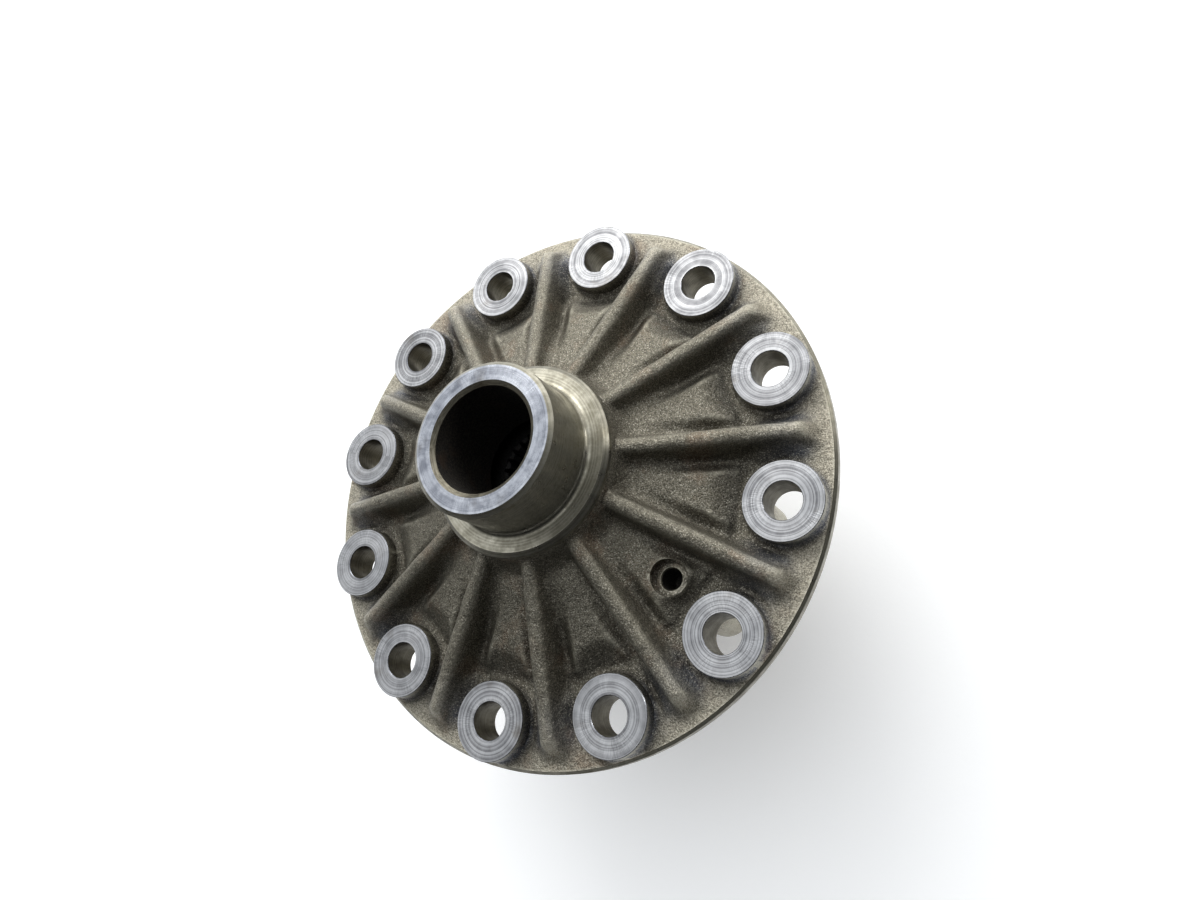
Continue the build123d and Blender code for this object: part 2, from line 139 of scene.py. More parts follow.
class Recipe:
    """A material being written, with short names for the nodes that it is made of."""

    def __init__(self, name, metallic, anisotropy=0.0):
        self.material = bpy.data.materials.new(name)
        self.material.use_nodes = True
        self.tree = self.material.node_tree
        self.shader = self.tree.nodes["Principled BSDF"]
        self.shader.inputs["Metallic"].default_value = metallic
        self.shader.inputs["Anisotropic"].default_value = anisotropy
        self.place = self.node("TexCoord").node.outputs["Object"]

    def put(self, value, socket):
        """A socket is linked, a number or colour is set and None leaves the default."""
        if isinstance(value, bpy.types.NodeSocket):
            self.tree.links.new(value, socket)
        elif isinstance(value, tuple) and len(value) == 3 and socket.type == "RGBA":
            socket.default_value = (*value, 1)
        elif value is not None:
            socket.default_value = value

    def node(self, kind, *values, **settings):
        """A node with its inputs filled in order. Returns its first output."""
        made = self.tree.nodes.new("ShaderNode" + kind)
        for setting, value in settings.items():
            setattr(made, setting, value)
        for value, socket in zip(values, made.inputs):
            self.put(value, socket)
        return made.outputs[0]

    def math(self, operation, *values):
        return self.node("Math", *values, operation=operation)

    def vector(self, operation, *values):
        return self.node("VectorMath", *values, operation=operation)

    def noise(self, feature_mm, detail=2.0, roughness=0.5, place=None):
        """Soft noise from 0 to 1 with features of about that size."""
        return self.node("TexNoise", place or self.place, None, 1 / (feature_mm * MM), detail, roughness)

    def cells(self, size_mm):
        """The distance from each cell's middle, and a random colour for each cell."""
        made = self.node("TexVoronoi", self.place, None, 1 / (size_mm * MM)).node
        return made.outputs["Distance"], made.outputs["Color"]

    def step(self, value, low, high, start=0.0, end=1.0):
        """Smoothly from start, below low, to end, above high."""
        return self.node("MapRange", value, low, high, start, end, interpolation_type="SMOOTHSTEP")

    def mix(self, factor, first, second):
        made = self.node("Mix", data_type="RGBA").node
        self.put(factor, made.inputs[0])
        self.put(first, made.inputs[6])
        self.put(second, made.inputs[7])
        return made.outputs[2]

    def bump(self, height, depth_mm, below=None):
        made = self.node("Bump").node
        made.inputs["Distance"].default_value = depth_mm * MM
        self.put(height, made.inputs["Height"])
        self.put(below, made.inputs["Normal"])
        return made.outputs[0]

    def boss_offset(self):
        """A point's offset from the axis of the nearest bolt boss, and that boss's number."""
        parts = self.node("SeparateXYZ", self.place).node.outputs
        angle = self.math("ARCTAN2", parts[1], parts[0])
        number = self.math("ROUND", self.math("DIVIDE", angle, SECTOR))
        middle = self.math("MULTIPLY", number, SECTOR)
        centre = self.node(
            "CombineXYZ",
            self.math("MULTIPLY", self.math("COSINE", middle), bolt_circle_r * MM),
            self.math("MULTIPLY", self.math("SINE", middle), bolt_circle_r * MM),
            0.0,
        )
        return self.vector("SUBTRACT", self.place, centre), number

    def dust(self, colour, spacing_mm, speck_mm):
        """Pale specks of dust over a colour."""
        distance, shade = self.cells(spacing_mm)
        size = speck_mm / spacing_mm
        speck = self.math(
            "MULTIPLY", self.step(distance, size * 0.6, size, 1.0, 0.0), self.step(shade, 0.45, 0.5)
        )
        return self.mix(speck, colour, (0.75, 0.74, 0.70))

    def done(self, colour, roughness, normal):
        self.put(colour, self.shader.inputs["Base Color"])
        self.put(roughness, self.shader.inputs["Roughness"])
        self.put(normal, self.shader.inputs["Normal"])
        return self.material


def cast_iron():
    """Grit-blasted grey iron: warm and grainy, with painted glints, bluish scoured dishes darkened as painted
    shade, dark brown painted shade in the crevices and hollows, painted shade near the hub, and edge wear
    with a painted highlight on the crests.
    """
    recipe = Recipe("cast_iron", metallic=0.72)
    grain = recipe.noise(0.75, 3.0, 0.6)
    lumps = recipe.noise(4.5, 3.0, 0.55)
    patches = recipe.noise(38.0, 3.0, 0.6)
    shade = recipe.step(grain, 0.28, 0.74)
    colour = recipe.mix(shade, (0.125, 0.112, 0.084), (0.47, 0.434, 0.348))

    parts = recipe.node("SeparateXYZ", recipe.place).node.outputs
    offset, _ = recipe.boss_offset()
    flat_offset = recipe.vector("MULTIPLY", offset, (1.0, 1.0, 0.0))
    from_boss = recipe.vector("LENGTH", flat_offset).node.outputs["Value"]
    # The dishes about the bosses: a bluish scoured tone, darkened as painted shade of the dish walls.
    in_dish = recipe.math(
        "MULTIPLY",
        recipe.step(from_boss, 0.024, 0.038, 1.0, 0.0),
        recipe.step(parts[2], 0.0095, 0.0125),
    )
    scour_and_dish_shade = recipe.math("MULTIPLY", in_dish, recipe.step(patches, 0.3, 0.6, 0.5, 1.0))
    colour = recipe.mix(scour_and_dish_shade, colour, recipe.mix(shade, (0.048, 0.053, 0.067), (0.150, 0.161, 0.188)))

    # Near the hub the web is darker: a scale tone that also paints the web's shade.
    flat_place = recipe.vector("MULTIPLY", recipe.place, (1.0, 1.0, 0.0))
    out = recipe.vector("LENGTH", flat_place).node.outputs["Value"]
    near_hub = recipe.step(out, 0.112, 0.136, 0.85, 0.0)
    scale_and_web_shade = recipe.math("MULTIPLY", near_hub, recipe.step(parts[2], 0.0, 0.01))
    colour = recipe.mix(scale_and_web_shade, colour, recipe.mix(shade, (0.036, 0.0325, 0.0235), (0.18, 0.165, 0.126)))

    rust = recipe.step(recipe.noise(26.0, 4.0, 0.62), 0.52, 0.70, 0.0, 0.45)
    colour = recipe.mix(rust, colour, recipe.mix(shade, (0.095, 0.058, 0.036), (0.29, 0.20, 0.13)))
    curve = recipe.node("NewGeometry").node.outputs["Pointiness"]
    # Painted shade: concave creases darkened to dark brown.
    colour = recipe.mix(recipe.step(curve, 0.42, 0.492, 0.85, 0.0), colour, (0.034, 0.028, 0.020))
    # Convex crests paler: edge wear and a painted highlight.
    colour = recipe.mix(recipe.step(curve, 0.505, 0.55, 0.0, 0.6), colour, (0.50, 0.475, 0.385))
    # Painted shade: darker where ambient occlusion finds nearby surfaces, in channels, flanks and crevices.
    occlusion_shade = recipe.node("AmbientOcclusion", None, 0.015, samples=4, only_local=True).node.outputs["AO"]
    colour = recipe.mix(recipe.step(occlusion_shade, 0.2, 0.8, 0.7, 0.0), colour, (0.030, 0.026, 0.019))
    # Painted glints: random small cells made paler to stand in for specular sparkle.
    _, facet = recipe.cells(0.42)
    painted_glint = recipe.step(facet, 0.72, 0.86, 0.0, 0.52)
    colour = recipe.mix(painted_glint, colour, (0.58, 0.545, 0.46))
    colour = recipe.dust(colour, 17.0, 0.35)

    roughness = recipe.step(recipe.noise(2.0, 2.0), 0.3, 0.7, 0.56, 0.38)
    surface = recipe.bump(lumps, 0.8)
    surface = recipe.bump(grain, 0.5, surface)
    return recipe.done(colour, roughness, surface)


def machined(
    name, dark, light, roughness, groove_mm, groove_depth, mottle_share, chatter_share, about_bosses=False
):
    """Turned or faced iron: rings about the axis or about each boss, with a highlight drawn across them."""
    recipe = Recipe(name, metallic=1.0, anisotropy=0.62)
    if about_bosses:
        offset, number = recipe.boss_offset()
    else:
        offset, number = recipe.place, 0.0
    parts = recipe.node("SeparateXYZ", offset).node.outputs
    radius = recipe.vector("LENGTH", recipe.vector("MULTIPLY", offset, (1.0, 1.0, 0.0))).node.outputs["Value"]
    angle = recipe.math("ARCTAN2", parts[1], parts[0])
    round_axis = recipe.node("CombineXYZ", radius, parts[2], recipe.math("MULTIPLY", number, 0.03))
    grooves = recipe.noise(groove_mm, 2.0, 0.6, round_axis)
    bands = recipe.noise(groove_mm * 7, 2.0, 0.5, round_axis)

    chatter_place = recipe.node(
        "CombineXYZ", recipe.math("MULTIPLY", angle, 0.02), recipe.math("MULTIPLY", radius, 0.15), number
    )
    mottle = recipe.noise(7.0, 4.0, 0.65)
    serrated = recipe.step(recipe.noise(19.0, 1.0, 0.5), 0.42, 0.62)
    chatter = recipe.step(recipe.noise(0.6, 1.0, 0.5, chatter_place), 0.35, 0.65)
    chatter = recipe.math("MULTIPLY", chatter, serrated)
    shade = recipe.math(
        "ADD",
        recipe.math("MULTIPLY", recipe.step(grooves, 0.35, 0.65), 0.78 - mottle_share),
        recipe.math("MULTIPLY", recipe.step(mottle, 0.35, 0.65), mottle_share),
    )
    shade = recipe.math("ADD", shade, recipe.math("MULTIPLY", chatter, chatter_share))
    colour = recipe.mix(shade, dark, light)
    old_oil = recipe.step(recipe.noise(24.0, 4.0, 0.6), 0.56, 0.74, 0.0, 0.5)
    colour = recipe.mix(old_oil, colour, tuple(value * tint for value, tint in zip(dark, (0.8, 0.66, 0.46))))
    colour = recipe.dust(colour, 21.0, 0.3)

    gloss = recipe.step(mottle, 0.3, 0.7, roughness + 0.09, roughness - 0.05)
    surface = recipe.bump(bands, groove_depth)
    surface = recipe.bump(grooves, groove_depth, surface)
    surface = recipe.bump(chatter, groove_depth * 3 * chatter_share, surface)
    round_way = recipe.node("CombineXYZ", recipe.math("MULTIPLY", parts[1], -1.0), parts[0], 0.0)
    facing = recipe.node("NewGeometry").node.outputs["Normal"]
    across = recipe.vector("NORMALIZE", recipe.vector("CROSS_PRODUCT", facing, round_way))
    recipe.put(across, recipe.shader.inputs["Tangent"])
    return recipe.done(colour, gloss, surface)


def shaded_bore_iron():
    """The inside of the castings: near black as painted shade, with rusty patches and pale dust."""
    recipe = Recipe("cast_bore", metallic=0.3)
    grain = recipe.noise(1.1, 3.0, 0.6)
    patches = recipe.noise(14.0, 3.0, 0.6)
    # Painted shade: the grain's two colours are both near black.
    colour = recipe.mix(recipe.step(grain, 0.35, 0.7), (0.010, 0.009, 0.008), (0.040, 0.034, 0.026))
    colour = recipe.mix(recipe.step(patches, 0.55, 0.75, 0.0, 0.6), colour, (0.045, 0.026, 0.014))
    colour = recipe.dust(colour, 9.0, 0.3)
    surface = recipe.bump(grain, 0.35, recipe.bump(patches, 0.8))
    return recipe.done(colour, recipe.step(grain, 0.3, 0.7, 0.85, 0.6), surface)


def worked_metal(name, dark, light, roughness, mark_mm, stain, metallic=1.0):
    """Steel or bronze of the inner pieces: fine tool marks, handling scratches and films of oil."""
    recipe = Recipe(name, metallic=metallic)
    marks = recipe.noise(mark_mm, 3.0, 0.6)
    mottle = recipe.noise(9.0, 4.0, 0.65)
    drawn = recipe.vector("MULTIPLY", recipe.place, (0.12, 1.0, 1.0))
    scratches = recipe.noise(0.5, 2.0, 0.6, drawn)
    shade = recipe.math(
        "ADD",
        recipe.math("MULTIPLY", recipe.step(mottle, 0.3, 0.7), 0.6),
        recipe.math("MULTIPLY", recipe.step(marks, 0.3, 0.7), 0.4),
    )
    colour = recipe.mix(shade, dark, light)
    colour = recipe.mix(recipe.step(scratches, 0.62, 0.72, 0.0, 0.5), colour, light)
    colour = recipe.mix(recipe.step(recipe.noise(16.0, 4.0, 0.6), 0.55, 0.72, 0.0, 0.7), colour, stain)
    gloss = recipe.step(mottle, 0.3, 0.7, roughness + 0.1, roughness - 0.06)
    surface = recipe.bump(scratches, 0.02, recipe.bump(marks, 0.05))
    return recipe.done(colour, gloss, surface)


def pale_floor():
    recipe = Recipe("pale_floor", metallic=0.0)
    tone = recipe.noise(240.0, 2.0)
    colour = recipe.mix(tone, (0.88, 0.885, 0.89), (0.92, 0.92, 0.92))
    recipe.put((1.0, 1.0, 1.0), recipe.shader.inputs["Emission Color"])
    recipe.put(0.22, recipe.shader.inputs["Emission Strength"])
    return recipe.done(colour, 0.55, recipe.bump(recipe.noise(3.0), 0.05))


casting_materials = {
    "cast": cast_iron(),
    "turned": machined(
        "turned_iron", (0.14, 0.131, 0.10), (0.39, 0.372, 0.31), roughness=0.32,
        groove_mm=0.8, groove_depth=0.008, mottle_share=0.42, chatter_share=0.04,
    ),
    "faced": machined(
        "faced_iron", (0.12, 0.128, 0.150), (0.42, 0.433, 0.465), roughness=0.28,
        groove_mm=0.9, groove_depth=0.02, mottle_share=0.45, chatter_share=0.16,
    ),
    "spot_faced": machined(
        "spot_iron", (0.12, 0.12, 0.126), (0.40, 0.402, 0.408), roughness=0.38,
        groove_mm=0.7, groove_depth=0.06, mottle_share=0.18, chatter_share=0.26, about_bosses=True,
    ),
    "drilled": machined(
        "drilled_iron", (0.060, 0.054, 0.040), (0.20, 0.185, 0.145), roughness=0.42,
        groove_mm=0.6, groove_depth=0.02, mottle_share=0.25, chatter_share=0.05, about_bosses=True,
    ),
    "bore": shaded_bore_iron(),
}


# ---- meshes ----


def along(start, end, finish, steps=1):
    """Stations (radius, height, finish of the strip that follows) on a straight stretch of an outline."""
    return [
        (start[0] + (end[0] - start[0]) * n / steps, start[1] + (end[1] - start[1]) * n / steps, finish)
        for n in range(steps)
    ]


def arc(centre, radius, first, last, finish, steps):
    """Stations on a circular stretch of an outline, from one angle to another in degrees."""
    angles = [radians(first + (last - first) * n / steps) for n in range(steps)]
    return [(centre[0] + radius * cos(a), centre[1] + radius * sin(a), finish) for a in angles]


RIB_COLUMNS = 14
WEB_COLUMNS = 14
RIB_BAND = 9.0
LEAST_COLUMN_R = 52.0


def column_angles(radius):
    """Every column's angle at one radius. Near each rib the columns run parallel to it."""
    band = asin(RIB_BAND / max(radius, LEAST_COLUMN_R))
    beside_rib = np.arcsin(np.linspace(0, RIB_BAND, RIB_COLUMNS + 1) / max(radius, LEAST_COLUMN_R))
    between = np.linspace(band, SECTOR / 2, WEB_COLUMNS + 1)[1:]
    half = np.concatenate([beside_rib, between])
    sector = np.concatenate([-half[::-1][:-1], half[:-1]])
    return np.concatenate([sector + SECTOR * (k + 0.5) for k in range(bolt_count)])


def add_finishes(mesh, finishes):
    """The castings' materials in their slots, and each face's finish."""
    for finish in FINISHES:
        mesh.materials.append(casting_materials[finish])
    mesh.polygons.foreach_set("material_index", np.array(finishes, np.int32))


def lathe_mesh(name, stations, relief=None):
    """A closed ring from an outline's stations. relief(x, y, z) gives new heights to its cast rows."""
    radii = np.array([station[0] for station in stations])
    heights = np.array([station[1] for station in stations])
    angles = np.array([column_angles(radius) for radius in radii])
    x = radii[:, None] * np.cos(angles)
    y = radii[:, None] * np.sin(angles)
    z = np.repeat(heights[:, None], angles.shape[1], axis=1)
    cast = np.array([station[2] == "cast" for station in stations])
    if relief is not None:
        z[cast] = relief(x[cast], y[cast], z[cast])
    rows, columns = x.shape
    points = np.stack([x, y, z], axis=-1).reshape(-1, 3) * MM
    row = np.arange(rows)[:, None]
    column = np.arange(columns)[None, :]
    after = (row + 1) % rows
    beside = (column + 1) % columns
    faces = np.stack(
        [
            row * columns + column,
            after * columns + column,
            after * columns + beside,
            row * columns + beside,
        ],
        axis=-1,
    ).reshape(-1, 4)
    mesh = bpy.data.meshes.new(name)
    mesh.from_pydata(points.tolist(), [], faces.tolist())
    finish = np.array([FINISHES.index(station[2]) for station in stations])
    add_finishes(mesh, np.repeat(finish, columns))
    return mesh


def spun_solid(outline, axis_place, segments, finishes):
    """Points, faces and finishes of a solid turned from an outline of (radius, height) about an axis."""
    points, faces, kinds = [], [], []
    count = len(outline)
    for step in range(segments):
        angle = 2 * pi * step / segments
        for radius, height in outline:
            points.append(axis_place @ Vector((radius * cos(angle), radius * sin(angle), height)))
    for step in range(segments):
        here, there = step * count, (step + 1) % segments * count
        for n in range(count - 1):
            faces.append((here + n, there + n, there + n + 1, here + n + 1))
            kinds.append(finishes[n])
    faces.append(tuple(step * count for step in reversed(range(segments))))
    kinds.append(finishes[0])
    faces.append(tuple(step * count + count - 1 for step in range(segments)))
    kinds.append(finishes[-1])
    return points, faces, kinds


def slot_solid(length, height, inner, outer, place, segments):
    """A rounded slot pushed outwards along its place's Z axis."""
    half = (length - height) / 2
    rim = [
        (half * (1 if cos(a) > 0 else -1) + height / 2 * cos(a), height / 2 * sin(a))
        for a in (2 * pi * (n + 0.5) / segments for n in range(segments))
    ]
    points = [place @ Vector((u, v, depth)) for depth in (inner, outer) for u, v in rim]
    sides = [(n, (n + 1) % segments, segments + (n + 1) % segments, segments + n) for n in range(segments)]
    caps = [tuple(reversed(range(segments))), tuple(range(segments, 2 * segments))]
    return points, sides + caps, ["cast"] * (segments + 2)


def joined_mesh(name, solids):
    """One mesh of several separate solids."""
    points, faces, kinds = [], [], []
    for solid_points, solid_faces, solid_kinds in solids:
        first = len(points)
        points += [tuple(point * MM) for point in solid_points]
        faces += [tuple(first + n for n in face) for face in solid_faces]
        kinds += [FINISHES.index(kind) for kind in solid_kinds]
    mesh = bpy.data.meshes.new(name)
    mesh.from_pydata(points, [], faces)
    add_finishes(mesh, kinds)
    return mesh


def combine(piece, mesh, operation):
    """Join a closed mesh to a piece, or cut it out of the piece."""
    tool = bpy.data.objects.new(mesh.name, mesh)
    bpy.context.scene.collection.objects.link(tool)
    modifier = piece.modifiers.new(mesh.name, "BOOLEAN")
    modifier.operation = operation
    modifier.solver = "MANIFOLD"
    modifier.object = tool
    depsgraph = bpy.context.evaluated_depsgraph_get()
    result = bpy.data.meshes.new_from_object(piece.evaluated_get(depsgraph), depsgraph=depsgraph)
    piece.modifiers.clear()
    piece.data = result
    bpy.data.objects.remove(tool)


def polar_places(radius, count, start=0.0):
    """Upright places on a circle about the axis."""
    angles = [start + 2 * pi * k / count for k in range(count)]
    return [Matrix.Translation((radius * cos(angle), radius * sin(angle), 0)) for angle in angles]


def outward_place(angle, height):
    """A place on the axis at a height, with its Z axis pointing outwards and its Y axis up."""
    outward = Vector((cos(angle), sin(angle), 0))
    across = Vector((0, 0, 1)).cross(outward)
    columns = (across, Vector((0, 0, 1)), outward)
    place = Matrix([[column[n] for column in columns] for n in range(3)]).to_4x4()
    place.translation = (0, 0, height)
    return place


def new_piece(name, mesh):
    piece = bpy.data.objects.new(name, mesh)
    bpy.context.scene.collection.objects.link(piece)
    return piece


# ---- the castings' relief ----

def soft_max(a, b, blend):
    """The larger of two values, rounded where they are within blend of each other."""
    near = np.maximum(blend - np.abs(a - b), 0) / blend
    return np.maximum(a, b) + near * near * blend / 4


def soft_min(a, b, blend):
    return -soft_max(-a, -b, blend)


def ease(value, low, high):
    """0 below low, 1 above high and smooth between."""
    t = np.clip((value - low) / (high - low), 0, 1)
    return t * t * (3 - 2 * t)


def sector_place(x, y, offset):
    """Distances along and across the nearest of the radial lines that start at offset of a sector."""
    radius = np.hypot(x, y)
    angle = np.arctan2(y, x) - offset * SECTOR
    local = (angle + SECTOR / 2) % SECTOR - SECTOR / 2
    return radius * np.cos(local), radius * np.sin(local)


def waviness(x, y, wavelength, seed):
    """Gentle unevenness from -1 to 1, the same on each run."""
    draw = np.random.default_rng(seed)
    total = np.zeros_like(x)
    for _ in range(14):
        heading = draw.uniform(0, 2 * pi)
        number = 2 * pi / (wavelength * draw.uniform(0.7, 1.6))
        total += np.sin(number * (x * cos(heading) + y * sin(heading)) + draw.uniform(0, 2 * pi))
    return total / 14


def solve_height(outside, low, high):
    """The height at which outside(z) turns positive, by halving the range."""
    for _ in range(26):
        middle = (low + high) / 2
        out = outside(middle) > 0
        high = np.where(out, middle, high)
        low = np.where(out, low, middle)
    return (low + high) / 2


RIB_CREST_HALF = 3.9
RIB_DRAFT = tan(radians(9))
RIB_ROUNDING = 4.2
RIB_ROOT_BLEND = 6.5
RIB_END_SLOPE = 0.32
SURFACE_STEEPNESS = 1.06
TALLEST = 60.0


def rib_outside(along_rib, across_rib, z, crest, end):
    """Roughly how far a point is outside a rib with sloping flanks and a rounded crest and end."""
    below_crest = np.maximum(crest - z, 0)
    side = np.abs(across_rib) - RIB_CREST_HALF - below_crest * RIB_DRAFT
    nose = along_rib - end - below_crest * RIB_END_SLOPE
    return soft_max(soft_max(side, z - crest, RIB_ROUNDING), nose, RIB_ROUNDING)


def roughened(x, y, heights, amount):
    """The slow unevenness of a sand casting, where amount isn't 0."""
    return heights + (0.6 * waviness(x, y, 19, 3) + 0.14 * waviness(x, y, 5, 4)) * amount


web_inner_height = 33.0
web_slope = 0.2963
web_lip_r = 106.0
web_foot_blend = 5.0
channel_depth = 8.0
channel_radii = (58.0, 100.0)
channel_sides = (6.0, 16.0)
dish_inner_r = 20.5
dish_outer_r = 37.5
mound_r = 28.5
mound_height = 3.3
mound_half_width = 4.2
mound_fades = (132.0, 146.0)
boss_foot = (3.0, 3.5)
hub_foot = (7.0, 7.0)
rib_end_r = 141.5
rib_crest_start = (53.0, 42.6)
rib_crest_slope = 0.2395
pad_r = 8.6


def flange_relief(x, y, z):
    """Heights of the flange half's cast front: web, channels, dishes, mounds, ribs and the oil hole's pad."""
    radius = np.hypot(x, y)
    front = (z > flange_front_z - 0.01) & (radius > shoulder_r + 0.2)
    r, x, y = radius[front], x[front], y[front]
    along_rib, across_rib = sector_place(x, y, 0.5)
    towards_boss, beside_boss = sector_place(x, y, 0.0)
    from_boss = np.hypot(towards_boss - bolt_circle_r, beside_boss)

    web = web_inner_height - web_slope * (r - shoulder_r)
    web -= np.maximum(r - web_lip_r, 0)
    channel = channel_depth * ease(r, *channel_radii) * (1 - ease(np.abs(across_rib), *channel_sides))
    floor = soft_max(web - channel, np.full_like(r, flange_front_z), web_foot_blend)
    floor += (flange_front_z - floor) * (1 - ease(from_boss, dish_inner_r, dish_outer_r))
    mound = np.exp(-(((from_boss - mound_r) / mound_half_width) ** 2))
    beside = ease(np.abs(beside_boss) / from_boss, 0.62, 0.9)
    floor += mound_height * mound * beside * ease(-r, -mound_fades[1], -mound_fades[0])
    floor += boss_foot[0] * np.clip(1 - (from_boss - boss_r) / boss_foot[1], 0, 1) ** 2
    floor += hub_foot[0] * np.clip(1 - (r - shoulder_r) / hub_foot[1], 0, 1) ** 2.4
    crest = rib_crest_start[1] - rib_crest_slope * (along_rib - rib_crest_start[0])
    pad = np.hypot(x - oil_hole_x, y - oil_hole_y) - pad_r

    def outside(height):
        base = (height - floor) / SURFACE_STEEPNESS
        rib = rib_outside(along_rib, across_rib, height, crest, rib_end_r)
        oil_pad = soft_max(pad, height - oil_hole_z, 1.0)
        return soft_min(soft_min(base, rib, RIB_ROOT_BLEND), oil_pad, 3.0)

    solved = solve_height(outside, np.zeros_like(r), np.full_like(r, TALLEST))
    z = z.copy()
    z[front] = roughened(x, y, solved, ease(flange_r - r, 1.5, 8) * ease(r, 54, 60))
    return z


plain_rib_crest_start = (48.0, 119.0)
plain_rib_crest_slope = 0.4265
plain_rib_end_r = 80.0


def plain_relief(x, y, z):
    """Heights of the plain half's cone, on which short ribs stand."""
    radius = np.hypot(x, y)
    cone = (z > barrel_end - barrel_fillet) & (radius > shoulder_r + 0.2)
    r, x, y, floor = radius[cone], x[cone], y[cone], z[cone]
    along_rib, across_rib = sector_place(x, y, 0.5)
    floor = floor + 4.0 * np.clip(1 - (r - shoulder_r) / 5.0, 0, 1) ** 2.4
    crest = plain_rib_crest_start[1] - plain_rib_crest_slope * (along_rib - plain_rib_crest_start[0])

    def outside(height):
        rib = rib_outside(along_rib, across_rib, height, crest, plain_rib_end_r)
        return soft_min((height - floor) / SURFACE_STEEPNESS, rib, RIB_ROOT_BLEND)

    solved = solve_height(outside, floor - 5.0, floor + TALLEST)
    z = z.copy()
    z[cone] = roughened(x, y, solved, ease(barrel_r - r, 2, 9) * ease(r, 54, 60))
    return z


# ---- the castings ----

def hub_outline(tip, shoulder):
    """The machined end of either half, from its bore's mouth out to its shoulder."""
    rim = journal_r - journal_chamfer
    below_rim = tip - journal_chamfer_length
    fillet = (journal_r + journal_fillet, shoulder + journal_fillet)
    outline = along((bore_mouth_r, tip), (rim, tip), "faced")
    outline += along((rim, tip), (journal_r, below_rim), "turned")
    outline += along((journal_r, below_rim), (journal_r, fillet[1]), "turned", 2)
    outline += arc(fillet, journal_fillet, 180, 270, "turned", 6)
    outline += along((fillet[0], shoulder), (shoulder_face_r, shoulder), "turned")
    below_chamfer = (shoulder_r, shoulder - shoulder_chamfer)
    outline += along((shoulder_face_r, shoulder), below_chamfer, "turned", 2)
    outline += along(below_chamfer, (shoulder_r, shoulder - shoulder_depth), "turned")
    outline += [(shoulder_r, shoulder - shoulder_depth, "cast")]
    return outline


def cavity_outline(split, tip):
    """The inside of either half, from the split face in to the bore's mouth."""
    sphere_top = sqrt(cavity_r**2 - side_pocket_r**2)
    top_angle = degrees(asin(sphere_top / cavity_r))
    seat = split + side_seat
    bore_start = split + hub_bore_end + hub_bore_taper
    mouth = tip - bore_mouth_depth
    outline = arc((0, split), cavity_r, 0, top_angle, "bore", 9)
    outline += along((side_pocket_r, split + sphere_top), (side_pocket_r, seat), "bore")
    outline += along((side_pocket_r, seat), (hub_bore_r, seat), "faced", 2)
    outline += along((hub_bore_r, seat), (hub_bore_r, split + hub_bore_end), "turned")
    outline += along((hub_bore_r, split + hub_bore_end), (bore_r, bore_start), "bore")
    outline += along((bore_r, bore_start), (bore_r, mouth), "bore", 3)
    outline += along((bore_r, mouth), (bore_mouth_r, tip), "drilled")
    return outline


def arm_bores(split):
    """The spider's four bores, centred on the split face."""
    bore = [(arm_bore_r, window_inner_r), (arm_bore_r, 2 * window_inner_r)]
    return [spun_solid(bore, outward_place(angle, split), 64, ["turned"]) for angle in arm_angles]


